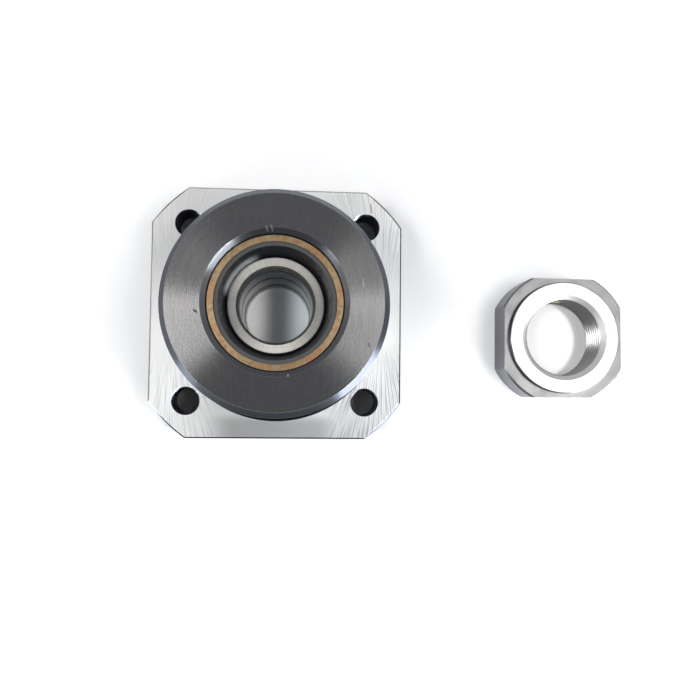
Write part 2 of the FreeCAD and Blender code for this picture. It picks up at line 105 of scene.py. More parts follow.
def rise(tree, term, low, high, start=0.0, end=1.0):
    """A smooth step from start to end while the term goes from low to high."""
    step = add(tree, "MapRange", {0: term, 1: low, 2: high, 3: start, 4: end},
               interpolation_type="SMOOTHSTEP")
    return step.outputs[0]


def fall(tree, term, low, high, start=1.0):
    """A smooth step from start down to 0 while the term goes from low to high."""
    return rise(tree, term, low, high, start, 0.0)


def between(tree, term, low, high, soft):
    """A mask that is 1 while the term lies between low and high, with a soft edge outside."""
    return times(tree, rise(tree, term, low - soft, low), fall(tree, term, high, high + soft))


def mix(tree, share, first, second):
    """The first colour, turned into the second by a share."""
    return add(tree, "Mix", {0: share, 6: first, 7: second}, data_type="RGBA").outputs[2]


def split_place(tree, vector):
    """The x, y and z of a place, and its distance from the Z axis."""
    x, y, z = add(tree, "SeparateXYZ", {0: vector}).outputs
    return x, y, z, reckon(tree, "SQRT", plus(tree, times(tree, x, x), times(tree, y, y)))


def speckle_noise(tree, place, detail, roughness):
    """Noise from 0 to 1 whose lumps are about one unit of the place wide."""
    values = {"Vector": place, "Scale": 1.0, "Detail": detail, "Roughness": roughness}
    return add(tree, "TexNoise", values).outputs[0]


def new_group(name, inputs, outputs):
    """An empty node group with its named inputs (kind and value) and outputs (kind)."""
    group = bpy.data.node_groups.new(name, "ShaderNodeTree")
    for title, (kind, start) in inputs.items():
        socket = group.interface.new_socket(title, in_out="INPUT", socket_type="NodeSocket" + kind)
        if start is not None:
            socket.default_value = start
    for title, kind in outputs.items():
        group.interface.new_socket(title, in_out="OUTPUT", socket_type="NodeSocket" + kind)
    return group, group.nodes.new("NodeGroupInput").outputs, group.nodes.new("NodeGroupOutput").inputs


def make_turning_group():
    """Rings left by a turning tool: noise along radius plus height, which wanders a little round the axis."""
    group, given, out = new_group(
        "turning_marks",
        {"Vector": ("Vector", None), "Pitch": ("Float", 0.15 * mm), "Wander": ("Float", 0.6)},
        {"Marks": "Float"})
    x, y, z, radius = split_place(group, given["Vector"])
    along = reckon(group, "DIVIDE", plus(group, radius, z), given["Pitch"])
    divisor = largest(group, radius, 1e-6)
    around = [times(group, reckon(group, "DIVIDE", side, divisor), given["Wander"]) for side in (x, y)]
    place = add(group, "CombineXYZ", {0: along, 1: around[0], 2: around[1]}).outputs[0]
    lumps = speckle_noise(group, place, detail=3.0, roughness=0.65)
    group.links.new(rise(group, lumps, 0.25, 0.75), out["Marks"])
    return group


def make_fan_group():
    """Fine lines that fan out up and down from a point on the left side and one on the right: noise over
    the line's lean, which is the distance sideways from that point over the distance up or down."""
    group, given, out = new_group(
        "fanned_lines",
        {"Vector": ("Vector", None), "Focus": ("Float", 18.5 * mm), "Spacing": ("Float", 0.0125),
         "Length": ("Float", 9 * mm)},
        {"Lines": "Float"})
    x, y = split_place(group, given["Vector"])[:2]
    sideways = reckon(group, "SUBTRACT", unsigned(group, x), given["Focus"])
    lean = reckon(group, "DIVIDE", sideways, largest(group, unsigned(group, y), mm))
    lines_of_each_side = times(group, reckon(group, "SIGN", x), 7.0)
    place = add(group, "CombineXYZ", {0: reckon(group, "DIVIDE", lean, given["Spacing"]),
                                      1: reckon(group, "DIVIDE", y, given["Length"]),
                                      2: lines_of_each_side}).outputs[0]
    lumps = speckle_noise(group, place, detail=2.0, roughness=0.6)
    group.links.new(rise(group, lumps, 0.44, 0.66), out["Lines"])
    return group


def make_grain_group():
    """Straight fine scratches along Y: noise that is short across and long along."""
    group, given, out = new_group(
        "straight_grain",
        {"Vector": ("Vector", None), "Width": ("Float", 0.15 * mm), "Length": ("Float", 5 * mm)},
        {"Grain": "Float"})
    x, y = split_place(group, given["Vector"])[:2]
    place = add(group, "CombineXYZ", {0: reckon(group, "DIVIDE", x, given["Width"]),
                                      1: reckon(group, "DIVIDE", y, given["Length"])}).outputs[0]
    lumps = speckle_noise(group, place, detail=2.0, roughness=0.6)
    group.links.new(rise(group, lumps, 0.3, 0.7), out["Grain"])
    return group


def make_nick_group():
    """One nick: 1 inside an upright oblong of a length and width, turned about Z at its centre."""
    group, given, out = new_group(
        "nick",
        {"Vector": ("Vector", None), "Centre": ("Vector", None), "Angle": ("Float", 0.0),
         "Length": ("Float", mm), "Width": ("Float", 0.2 * mm)},
        {"Nick": "Float"})
    shift = add(group, "VectorMath", {0: given["Vector"], 1: given["Centre"]}, operation="SUBTRACT")
    turned = add(group, "VectorRotate", {"Vector": shift.outputs[0], "Angle": given["Angle"]},
                 rotation_type="Z_AXIS", invert=True)
    x, y, z = split_place(group, turned.outputs[0])[:3]
    reach = [reckon(group, "DIVIDE", unsigned(group, side), times(group, size, 0.5))
             for side, size in ((x, given["Width"]), (y, given["Length"]), (z, given["Length"]))]
    group.links.new(fall(group, largest(group, *reach), 0.5, 1.0), out["Nick"])
    return group


def make_patch_group():
    """Soft uneven patches of a size, as in a tarnish or a worn blackening."""
    group, given, out = new_group(
        "patches",
        {"Vector": ("Vector", None), "Size": ("Float", 2 * mm), "Low": ("Float", 0.4),
         "High": ("Float", 0.6)},
        {"Patches": "Float"})
    place = add(group, "VectorMath", {0: given["Vector"], 3: reckon(group, "DIVIDE", 1.0, given["Size"])},
                operation="SCALE").outputs[0]
    lumps = speckle_noise(group, place, detail=4.0, roughness=0.6)
    group.links.new(rise(group, lumps, given["Low"], given["High"]), out["Patches"])
    return group


turning = make_turning_group()
fan = make_fan_group()
grain = make_grain_group()
nick = make_nick_group()
patches = make_patch_group()


def effect(tree, group, **inputs):
    """A shared effect set in a material with its own values."""
    return add(tree, "Group", node_tree=group, inputs=inputs).outputs[0]


def new_material(name, **constants):
    """A material with one shader; constants are set on the shader's own sockets, spaces written as _."""
    material = bpy.data.materials.new(name)
    material.use_nodes = True
    tree = material.node_tree
    shader = next(node for node in tree.nodes if node.type == "BSDF_PRINCIPLED")
    for title, constant in constants.items():
        shader.inputs[title.replace("_", " ")].default_value = constant
    place = add(tree, "TexCoord").outputs["Object"]
    return material, tree, shader.inputs, place


def bump(tree, height, depth):
    """A normal from a height that goes from 0 to 1 over a depth in metres."""
    return add(tree, "Bump", {"Height": height, "Distance": depth, "Strength": 1.0}).outputs[0]


def wear(name, material):
    """Gives a piece that the CAD model holds its finish."""
    slots = nodes[name].data.materials
    slots.clear()
    slots.append(material)


boss_radius, boss_top, foot = 18 * mm, 17 * mm, -10 * mm
lead_in, lead_foot = 17 * mm, 15.4 * mm
mouth_radius, mouth_foot = 11.6 * mm, 16.2 * mm
relief_edge, bearing_seat, bearing_shoulder = 19 * mm, 14.01 * mm, 9.25 * mm
blend = 0.05 * mm  # softness of a mask's edge

blackened, worn_black = (0.026, 0.029, 0.038, 1), (0.05, 0.052, 0.06, 1)
boss_end_grey, boss_end_dark = (0.255, 0.252, 0.25, 1), (0.14, 0.14, 0.145, 1)
bright_steel, painted_light_steel = (0.84, 0.835, 0.825, 1), (0.95, 0.945, 0.935, 1)
painted_shade_steel, line_grey = (0.24, 0.24, 0.24, 1), (0.2, 0.197, 0.193, 1)
lead_shade_near, lead_middle = (0.03, 0.032, 0.04, 1), (0.078, 0.083, 0.1, 1)
lead_light_far, mouth_grey = (0.15, 0.16, 0.178, 1), (0.132, 0.135, 0.146, 1)
edge_grey, rust_brown = (0.45, 0.45, 0.45, 1), (0.30, 0.13, 0.06, 1)
nick_light, nick_dark = (0.8, 0.8, 0.8, 1), (0.02, 0.02, 0.022, 1)

housing_steel, tree, shader, place = new_material(
    "blackened_housing_steel", Anisotropic=0.97, Anisotropic_Rotation=0.25)
x, y, z, radius = split_place(tree, place)
x_size, y_size = unsigned(tree, x), unsigned(tree, y)
marks = effect(tree, turning, Vector=place, Pitch=0.11 * mm)
broad_marks = effect(tree, turning, Vector=place, Pitch=0.5 * mm, Wander=1.2)
scratches = effect(tree, grain, Vector=place)
worn = effect(tree, patches, Vector=place, Size=2.5 * mm, Low=0.35, High=0.75)

# The bright cuts are the mounting face outside the relief groove, the outside of the boss up to its
# lead-in chamfer, and the bearing seat with its shoulder.
face_level = between(tree, z, -0.03 * mm, 0.3 * mm, 0.02 * mm)
mounting_face = times(tree, face_level, rise(tree, radius, relief_edge - 0.1 * mm, relief_edge))
boss_height = between(tree, z, 0.1 * mm, lead_foot - blend, 0.1 * mm)
boss_wall = times(tree, boss_height,
                  between(tree, radius, boss_radius - 0.04 * mm, boss_radius + 0.1 * mm, 0.03 * mm))
seat = times(tree, fall(tree, radius, bearing_seat + blend, bearing_seat + 0.2 * mm),
             fall(tree, z, bearing_shoulder + blend, bearing_shoulder + 0.2 * mm))
bright = largest(tree, boss_wall, seat, mounting_face)

# Milled lines, as bumps and a darker grey, show in the flange's corners, and most of all at the near right.
# The grey lines are partly milling marks and partly painted reflection streaks, fanned and strongest there.
right_side = rise(tree, x, -5 * mm, 15 * mm, start=0.45)
near_side = rise(tree, y, -5 * mm, 5 * mm, start=1.0, end=0.5)
corners = times(tree, rise(tree, y_size, 4 * mm, 10 * mm), rise(tree, x_size, 7 * mm, 13 * mm))
lines = times(tree, right_side, near_side, corners, effect(tree, fan, Vector=place))

# Painted shade darkens the cut in the strip on the near side of the boss and at the near right, and painted
# light makes it paler at the far side and at the left.
near_strip_shade = times(tree, fall(tree, y, -19.5 * mm, -17 * mm),
                   fall(tree, x_size, 7 * mm, 13 * mm, start=0.6))
near_right_shade = times(tree, fall(tree, y, -12 * mm, -4 * mm, start=0.22), rise(tree, x, 4 * mm, 14 * mm))
painted_light_share = largest(tree, rise(tree, y, 0.0, 12 * mm), fall(tree, x, -16 * mm, -8 * mm))
cut_steel = mix(tree, largest(tree, near_strip_shade, near_right_shade), mix(tree, painted_light_share, bright_steel, painted_light_steel),
                painted_shade_steel)
# The lines' darker grey is partly milling marks and partly painted reflection streaks.
cut_steel = mix(tree, times(tree, lines, 0.7), cut_steel, line_grey)

# The boss's end is worn grey. The lead-in round it has painted shade, darkest at the near side and lightest
# at the far side, and the chamfer at its mouth is grey.
boss_end = rise(tree, z, boss_top - 0.08 * mm, boss_top - 0.03 * mm)
end_wear = plus(tree, times(tree, broad_marks, 0.12), times(tree, scratches, 0.35))
lead = times(tree, rise(tree, z, lead_foot - blend, lead_foot + blend),
             rise(tree, radius, lead_in - blend, lead_in))
lead_shaded_grey = mix(tree, rise(tree, y, -17.2 * mm, -13.5 * mm), lead_shade_near, lead_middle)
lead_shaded_grey = mix(tree, rise(tree, y, 9 * mm, 17 * mm), lead_shaded_grey, lead_light_far)
mouth = times(tree, rise(tree, z, mouth_foot - blend, mouth_foot + blend),
              fall(tree, radius, mouth_radius - blend, mouth_radius + blend))

# The flange's top edge is paler grey at the left and at the far side.
paler_share = largest(tree, fall(tree, x, -21.5 * mm, -19 * mm), rise(tree, y, 20.5 * mm, 21.5 * mm))
edge = times(tree, paler_share, between(tree, z, -0.4 * mm, -0.03 * mm, 0.02 * mm))

light_nicks = (
    ((-1.47, 11.36, 17), 0.3, 1.2, 0.22),
    ((-0.72, 11.5, 17), 0.25, 1.4, 0.2),
    ((2.11, -11.3, 16.9), 0.1, 0.6, 0.25),
    ((13.6, 3.22, 17), 0.1, 1.4, 0.09),
)
dark_nicks = (
    ((-12.17, -1.65, 17), 0.9, 0.9, 0.35),
    ((14.54, -6.42, 17), 0.5, 0.9, 0.2),
)
rust_spots = (
    ((16.45, 19.1, 0), 0.1, 2.2, 0.35),
)


def all_nicks(rows):
    """The mask of several nicks, each given by its centre, its angle in radians, its length and its width,
    with lengths in millimetres."""
    whole = 0.0
    for centre, angle, length, width in rows:
        mask = effect(tree, nick, Vector=place, Centre=[side * mm for side in centre], Angle=angle,
                      Length=length * mm, Width=width * mm)
        whole = largest(tree, whole, mask)
    return whole


colour = mix(tree, times(tree, worn, 0.5), blackened, worn_black)
colour = mix(tree, lead, mix(tree, mouth, colour, mouth_grey), lead_shaded_grey)
colour = mix(tree, times(tree, edge, 0.7), colour, edge_grey)
colour = mix(tree, boss_end, colour, mix(tree, end_wear, boss_end_grey, boss_end_dark))
colour = mix(tree, bright, colour, cut_steel)
colour = mix(tree, times(tree, all_nicks(rust_spots), 0.7), colour, rust_brown)
colour = mix(tree, times(tree, all_nicks(light_nicks), 0.8), colour, nick_light)
colour = mix(tree, all_nicks(dark_nicks), colour, nick_dark)
tree.links.new(colour, shader["Base Color"])
film = times(tree, mounting_face, plus(tree, 0.4, times(tree, painted_light_share, 0.15)))
tree.links.new(reckon(tree, "SUBTRACT", 1.0, film), shader["Metallic"])
roughness = plus(tree, 0.33, times(tree, marks, 0.02), times(tree, boss_end, -0.07),
                 times(tree, mouth, 0.09), times(tree, bright, 0.2))
tree.links.new(roughness, shader["Roughness"])
milled = times(tree, lines, mounting_face, 1.5)
fine = times(tree, marks, reckon(tree, "SUBTRACT", 1.0, times(tree, boss_end, 0.92)))
tree.links.new(bump(tree, plus(tree, fine, milled), 0.0012 * mm), shader["Normal"])
wear("housing", housing_steel)

# Boss seal
# A bare copper-brown metal ring bonded into black rubber, pressed into the end of the boss.
# The rubber's flat beside the ring is trimmed and paler; its lip slopes down to the collar, with a painted
# reflection, bluish white, low on the lip at one side.
seal_copper, seal_tarnish = (0.48, 0.345, 0.2, 1), (0.29, 0.19, 0.1, 1)
seal_red = (0.43, 0.21, 0.1, 1)
seal_metal, tree, shader, place = new_material(
    "copper_brown_metal", Metallic=0.7, Anisotropic=0.3, Anisotropic_Rotation=0.25)
tarnish = effect(tree, patches, Vector=place, Size=0.9 * mm, Low=0.4, High=0.68)
spots = effect(tree, patches, Vector=place, Size=3.2 * mm, Low=0.45, High=0.62)
marks = effect(tree, turning, Vector=place, Pitch=0.08 * mm)
colour = mix(tree, times(tree, spots, 0.6), mix(tree, tarnish, seal_copper, seal_tarnish), seal_red)
tree.links.new(colour, shader["Base Color"])
tree.links.new(plus(tree, 0.36, times(tree, tarnish, 0.14)), shader["Roughness"])
tree.links.new(bump(tree, marks, 0.001 * mm), shader["Normal"])
wear("boss_seal_ring", seal_metal)

rubber_black, bloom_grey = (0.016, 0.019, 0.023, 1), (0.027, 0.031, 0.035, 1)
trimmed_grey, reflection_white = (0.095, 0.097, 0.1, 1), (0.92, 0.95, 1, 1)
reflection_x, reflection_y = -0.77, 0.64
reflection_inner, reflection_outer = 8.2 * mm, 8.65 * mm


def make_rubber(name, pale_from, pale_to, pale_above, painted_reflection=0.0):
    """Black rubber with a bloom of fine dust, a paler trimmed flat between two radii above a height, and a
    share of a painted reflection low on the lip, which fades in as a place turns towards the reflection's
    side: the cosine of the angle between them goes from 0.84 to 0.97."""
    rubber, tree, shader, place = new_material(name, Specular_IOR_Level=0.35)
    x, y, z, radius = split_place(tree, place)
    flat = times(tree, between(tree, radius, pale_from, pale_to, 0.05 * mm),
                 rise(tree, z, pale_above - 0.1 * mm, pale_above - 0.03 * mm))
    bloom = effect(tree, patches, Vector=place, Size=1.2 * mm, Low=0.4, High=0.75)
    rings = effect(tree, turning, Vector=place, Pitch=0.2 * mm, Wander=0.3)
    colour = mix(tree, times(tree, bloom, 0.4), rubber_black, bloom_grey)
    colour = mix(tree, flat, colour, trimmed_grey)
    towards = plus(tree, times(tree, x, reflection_x), times(tree, y, reflection_y))
    beside = rise(tree, reckon(tree, "DIVIDE", towards, largest(tree, radius, mm)), 0.84, 0.97)
    low_part = fall(tree, radius, reflection_inner, reflection_outer, start=painted_reflection)
    # Painted reflection: bluish white on the lip's low part at one side.
    colour = mix(tree, times(tree, beside, low_part), colour, reflection_white)
    tree.links.new(colour, shader["Base Color"])
    tree.links.new(plus(tree, 0.42, times(tree, bloom, 0.2)), shader["Roughness"])
    tree.links.new(bump(tree, rings, 0.003 * mm), shader["Normal"])
    return rubber


wear("boss_seal_lip", make_rubber(
    "black_rubber", pale_from=9.0 * mm, pale_to=9.7 * mm, pale_above=15.6 * mm, painted_reflection=1.0))

# Bearing rings
# Two outer and two inner rings of hardened chromium steel, ground bright all over.
# The outer rings stand against the shoulder under the boss seal, and the shaft goes through the inner ones.
bore_shade_dark, streak_dark, rim_shade_grey = (0.13, 0.138, 0.155, 1), (0.12, 0.12, 0.12, 1), (0.16, 0.165, 0.175, 1)


def make_turned_metal(name, bright, dull, roughness, pitch, depth, spread, turn=0.25, bore=0.0,
                      streaks=0.0, rim=1.0):
    """Bare metal with tool rings round Z, which spread its shine: dark with painted shade inside the bore
    radius, darkened by a share of fine streaks across the rings, and greyer with painted shade outside the
    rim radius."""
    metal, tree, shader, place = new_material(
        name, Metallic=1.0, Anisotropic=spread, Anisotropic_Rotation=turn)
    marks = effect(tree, turning, Vector=place, Pitch=pitch)
    broad = effect(tree, turning, Vector=place, Pitch=pitch * 4, Wander=1.5)
    across = effect(tree, turning, Vector=place, Pitch=1.0, Wander=44.0)
    film = effect(tree, patches, Vector=place, Size=3 * mm, Low=0.4, High=0.8)
    radius = split_place(tree, place)[3]
    colour = mix(tree, times(tree, plus(tree, marks, broad, film), 0.33), bright, dull)
    # Painted shade inside the bore.
    colour = mix(tree, fall(tree, radius, bore, bore + 0.1 * mm), colour, bore_shade_dark)
    colour = mix(tree, times(tree, across, streaks), colour, streak_dark)
    # Painted shade: greyer outside the rim radius.
    colour = mix(tree, rise(tree, radius, rim, rim + 0.5 * mm, end=0.6), colour, rim_shade_grey)
    tree.links.new(colour, shader["Base Color"])
    tree.links.new(plus(tree, roughness, times(tree, film, 0.08)), shader["Roughness"])
    tree.links.new(bump(tree, plus(tree, marks, broad), depth), shader["Normal"])
    return metal


bearing_bore = 6 * mm
# Painted shade: the rings are dark inside the bore.
ground_steel = make_turned_metal(
    "ground_bearing_steel", bright=(0.62, 0.62, 0.63, 1), dull=(0.5, 0.5, 0.51, 1), roughness=0.16,
    pitch=0.06 * mm, depth=0.0003 * mm, spread=0.4, bore=bearing_bore)
for row in ("upper", "lower"):
    wear(f"{row}_bearing_outer_ring", ground_steel)
    wear(f"{row}_bearing_inner_ring", ground_steel)

# Balls and cages
# Ten lapped steel balls to a row, held apart by a moulded nylon cage.
# They go in with the rings as one bearing.
ball_light, ball_dark = (0.66, 0.66, 0.67, 1), (0.56, 0.56, 0.58, 1)
lapped_steel, tree, shader, place = new_material("lapped_ball_steel", Metallic=1.0)
film = effect(tree, patches, Vector=place, Size=1.5 * mm, Low=0.35, High=0.75)
tree.links.new(mix(tree, film, ball_light, ball_dark), shader["Base Color"])
tree.links.new(plus(tree, 0.05, times(tree, film, 0.06)), shader["Roughness"])

nylon_light, nylon_dark = (0.66, 0.58, 0.42, 1), (0.58, 0.49, 0.33, 1)
nylon, tree, shader, place = new_material("moulded_nylon", Subsurface_Weight=0.15, Subsurface_Scale=0.4 * mm)
speckle = effect(tree, patches, Vector=place, Size=0.25 * mm, Low=0.3, High=0.7)
tone = effect(tree, patches, Vector=place, Size=4 * mm, Low=0.3, High=0.7)
tree.links.new(mix(tree, tone, nylon_light, nylon_dark), shader["Base Color"])
tree.links.new(plus(tree, 0.4, times(tree, speckle, 0.12)), shader["Roughness"])
tree.links.new(bump(tree, speckle, 0.004 * mm), shader["Normal"])

for row in ("upper", "lower"):
    wear(f"{row}_bearing_cage", nylon)
    for name in sorted(nodes):
        if name.startswith(f"{row}_ball_"):
            wear(name, lapped_steel)

# Collars
# Two spacers of steel, turned on their ends and ground where the seal lips run.
# One stands on each outer side of the inner rings, and the screw's shoulder and the lock nut press on them.
# Painted shade: the collars are dark inside the bore and greyer on their outer zone.
collar_steel = make_turned_metal(
    "turned_collar_steel", bright=(0.68, 0.66, 0.622, 1), dull=(0.46, 0.445, 0.418, 1), roughness=0.36,
    pitch=0.09 * mm, depth=0.0008 * mm, spread=0.5, turn=0.0, bore=bearing_bore, streaks=0.35,
    rim=7.4 * mm)
for name in ("boss_collar", "lid_collar"):
    wear(name, collar_steel)

# Lid seal
# A pressed sheet metal case with a rubber lip moulded to its inner edge.
# It is pushed into the lid, and its lip runs on the lid collar.
case_metal = make_turned_metal(
    "pressed_case_metal", bright=(0.42, 0.42, 0.43, 1), dull=(0.3, 0.3, 0.31, 1), roughness=0.38,
    pitch=0.3 * mm, depth=0.0006 * mm, spread=0.2)
wear("lid_seal_case", case_metal)
wear("lid_seal_lip", make_rubber("black_lip_rubber", pale_from=8.0 * mm, pale_to=8.1 * mm, pale_above=0.0))

# Retaining lid
# A turned steel disc, blackened and then faced on its outside.
# Its spigot clamps the outer rings in the housing, and four screws hold it to the flange.
lid_steel = make_turned_metal(
    "faced_lid_steel", bright=(0.30, 0.30, 0.31, 1), dull=(0.16, 0.16, 0.17, 1), roughness=0.36,
    pitch=0.12 * mm, depth=0.001 * mm, spread=0.6)
wear("retaining_lid", lid_steel)

# Lid screws
# Four countersunk screws of black oxide steel with a hexagon socket, driven up into the flange.
# Each has a rolled 60 degree thread, which runs out under its head.
screw_length, head_radius, head_height = 7 * mm, 2.75 * mm, 1.25 * mm
shank_radius, screw_pitch, screw_sides = 1.5 * mm, 0.5 * mm, 48
tip_length, tip_radius = 0.3 * mm, 0.75 * shank_radius
socket_flats, socket_depth = 2 * mm, 1.2 * mm
drill_radius, drill_depth = 0.4 * mm, 0.25 * mm
groove_depth_share = 0.6134  # of the pitch

oxide_black, oxide_grey = (0.03, 0.032, 0.036, 1), (0.10, 0.10, 0.105, 1)
screw_oxide, tree, shader, place = new_material("black_oxide_screws", Metallic=1.0)
paler_share = effect(tree, patches, Vector=place, Size=0.8 * mm, Low=0.45, High=0.8)
tree.links.new(mix(tree, paler_share, oxide_black, oxide_grey), shader["Base Color"])
tree.links.new(plus(tree, 0.3, times(tree, paler_share, 0.15)), shader["Roughness"])
tree.links.new(bump(tree, paler_share, 0.001 * mm), shader["Normal"])


def thread_groove(turns):
    """How deep a 60 degree thread is cut, from 0 on its crest to 1 in its root, as the turn count goes by."""
    from_crest = 1 - np.abs(2 * (turns % 1) - 1)
    return np.clip((from_crest - 1 / 8) / (5 / 8), 0, 1)


def screw_rings(rows, flats, pitch, sides, thread_from, thread_to):
    """Rings of a socket screw: each row is a radius, a height and a share of the hexagon.

    Round the axis by an angle, the radius is the row's own, less the thread's groove, or the hexagon's
    half width over the cosine of the angle from its nearest flat.
    """
    radius, height, hexagon = np.array(rows, float).T[:, :, None]
    angle = np.arange(sides) * 2 * np.pi / sides
    flat_angle = (angle + np.pi / 6) % (np.pi / 3) - np.pi / 6
    hexagon_radius = flats / 2 / np.cos(flat_angle)
    fade = np.clip(np.minimum(height - thread_from, thread_to - height) / (pitch / 2), 0, 1)
    depth = groove_depth_share * pitch * thread_groove(height / pitch - angle / (2 * np.pi))
    groove = depth * fade * (hexagon < 0.5)
    along = (1 - hexagon) * (radius - groove) + hexagon * hexagon_radius
    return np.stack([along * np.cos(angle), along * np.sin(angle), height + 0 * along], axis=-1)


def close_rings(points):
    """Vertices and faces of a closed surface: each ring joins the next, and a pole closes each end."""
    rows, columns = points.shape[:2]
    here = np.arange(rows * columns).reshape(rows, columns)
    after = np.roll(here, -1, axis=1)
    first, last = rows * columns, rows * columns + 1
    walls = np.stack([here[:-1], after[:-1], after[1:], here[1:]], axis=-1).reshape(-1, 4)
    first_fan = np.stack([np.full(columns, first), after[0], here[0]], axis=-1)
    last_fan = np.stack([np.full(columns, last), here[-1], after[-1]], axis=-1)
    vertices = np.vstack([points.reshape(-1, 3), points[0].mean(axis=0), points[-1].mean(axis=0)])
    return vertices, walls.tolist() + first_fan.tolist() + last_fan.tolist()


def finish_piece(piece, material, replaced, crease):
    """Makes a piece smooth but for edges sharper than a crease in degrees, gives it its finish, ties it to
    the fixed body, and hides the CAD piece that it stands for."""
    mesh = piece.data
    mesh.polygons.foreach_set("use_smooth", np.ones(len(mesh.polygons), bool))
    mesh.set_sharp_from_angle(angle=math.radians(crease))
    mesh.materials.clear()
    mesh.materials.append(material)
    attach(piece, "housing_body")
    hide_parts(replaced)


def make_screws(name, parts, replaced):
    """A piece of one or more closed surfaces of black oxide steel."""
    vertices = np.vstack([part[0] for part in parts])
    starts = np.cumsum([0] + [len(part[0]) for part in parts[:-1]])
    faces = [[int(start) + corner for corner in face]
             for start, part in zip(starts, parts) for face in part[1]]
    mesh = bpy.data.meshes.new(name)
    mesh.from_pydata(vertices.tolist(), [], faces)
    piece = bpy.data.objects.new(name, mesh)
    bpy.context.scene.collection.objects.link(piece)
    finish_piece(piece, screw_oxide, replaced, crease=35)


threaded = np.arange(head_height + screw_pitch / 10, screw_length - tip_length, screw_pitch / 10)
socket_floor = [(drill_radius, socket_depth + drill_depth, 0.0), (0.0, socket_depth, 1.0)]
head = [(0.0, 0.0, 1.0), (head_radius, 0.0, 0.0), (shank_radius, head_height, 0.0)]
shank = [(shank_radius, height, 0.0) for height in threaded]
rows = socket_floor + head + shank + [(tip_radius, screw_length, 0.0)]
one_screw, screw_faces = close_rings(screw_rings(
    rows, socket_flats, screw_pitch, screw_sides, head_height, screw_length - tip_length))
low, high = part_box("lid_screws")
screw_circle = high.x - head_radius
lid_screws = []
for quarter in np.arange(4) * math.pi / 2:
    at = np.array([screw_circle * math.cos(quarter), screw_circle * math.sin(quarter), low.z])
    lid_screws.append((one_screw + at, screw_faces))
make_screws("lid_screws_threaded", lid_screws, "lid_screws")

# Lock nut
# Turned from steel bar with a raised round face, milled square, tapped and left bright.
# It lies beside the unit, taken off. Its fine thread is cut here from a copy of the plain bored blank.
thread_radius, thread_pitch, thread_sides = 7.5 * mm, 1 * mm, 96
crest_radius = thread_radius - thread_pitch * math.cos(math.pi / 6) * 5 / 8
low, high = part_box("lock_nut")
nut_axis = ((low.x + high.x) / 2, (low.y + high.y) / 2)
nut_foot, nut_height, nut_step = low.z, high.z - low.z, 7 * mm
sink_radius, sink_depth = thread_radius + 0.4 * mm, 0.5 * mm


def tap_surface(radius, pitch, sides, bottom, turns):
    """Vertices and faces of a tap: one ridge wound round a core, closed by a fan at each end.

    Each pitch holds four points of the 60 degree profile, whose half width is a sixteenth of the pitch
    at the ridge's top and grows by the tangent of 30 degrees downwards. The last point of a turn joins
    the first point of the next turn.
    """
    core = radius - 0.75 * pitch
    flat = pitch / 16
    reach = flat + (radius - core) * math.tan(math.radians(30))
    rise_of = np.array([-reach, -flat, flat, reach])
    radius_of = np.array([core, radius, radius, core])
    count = len(rise_of)
    step = np.arange(turns * sides + 1)[:, None]
    angle = 2 * np.pi * step / sides
    height = bottom + pitch * step / sides + rise_of
    points = np.stack([radius_of * np.cos(angle), radius_of * np.sin(angle), height], axis=-1)
    here = np.arange(step.size * count).reshape(step.size, count)
    ridge = np.stack([here[:-1, :-1], here[1:, :-1], here[1:, 1:], here[:-1, 1:]], axis=-1).reshape(-1, 4)
    joined = np.stack([here[:-1 - sides, -1], here[1:-sides, -1], here[1 + sides:, 0], here[sides:-1, 0]],
                      axis=-1)
    foot_loop = np.concatenate([here[:sides + 1, 0], here[0, :0:-1]])
    top_loop = np.concatenate([here[-1 - sides:, -1], here[-1, -2::-1]])
    poles = np.array([[0, 0, height.min()], [0, 0, height.max()]])
    first, last = here.size, here.size + 1
    foot_fan = np.stack([np.full(foot_loop.size, first), np.roll(foot_loop, -1), foot_loop], axis=-1)
    top_fan = np.stack([np.full(top_loop.size, last), top_loop, np.roll(top_loop, -1)], axis=-1)
    vertices = np.vstack([points.reshape(-1, 3), poles])
    return vertices, ridge.tolist() + joined.tolist() + foot_fan.tolist() + top_fan.tolist()


def thread_bore(name, blank_name, cutter):
    """A welded copy of a bored blank, less the tap: the tap's ridge leaves the thread in the bore."""
    blank = bpy.data.objects.new(name, nodes[blank_name].data.copy())
    welded = bmesh.new()
    welded.from_mesh(blank.data)
    bmesh.ops.remove_doubles(welded, verts=welded.verts, dist=1e-7)
    welded.to_mesh(blank.data)
    welded.free()
    blank.data.attributes.remove(blank.data.attributes["custom_normal"])
    tap_mesh = bpy.data.meshes.new("tap")
    tap_mesh.from_pydata(cutter[0].tolist(), [], cutter[1])
    tap = bpy.data.objects.new("tap", tap_mesh)
    for item in (blank, tap):
        bpy.context.scene.collection.objects.link(item)
    cut = blank.modifiers.new("thread", "BOOLEAN")
    cut.operation, cut.solver, cut.object = "DIFFERENCE", "EXACT", tap
    threaded_blank = blank.evaluated_get(bpy.context.evaluated_depsgraph_get())
    mesh = bpy.data.meshes.new_from_object(threaded_blank)
    blank.modifiers.clear()
    blank.data = mesh
    bpy.data.objects.remove(tap)
    return blank


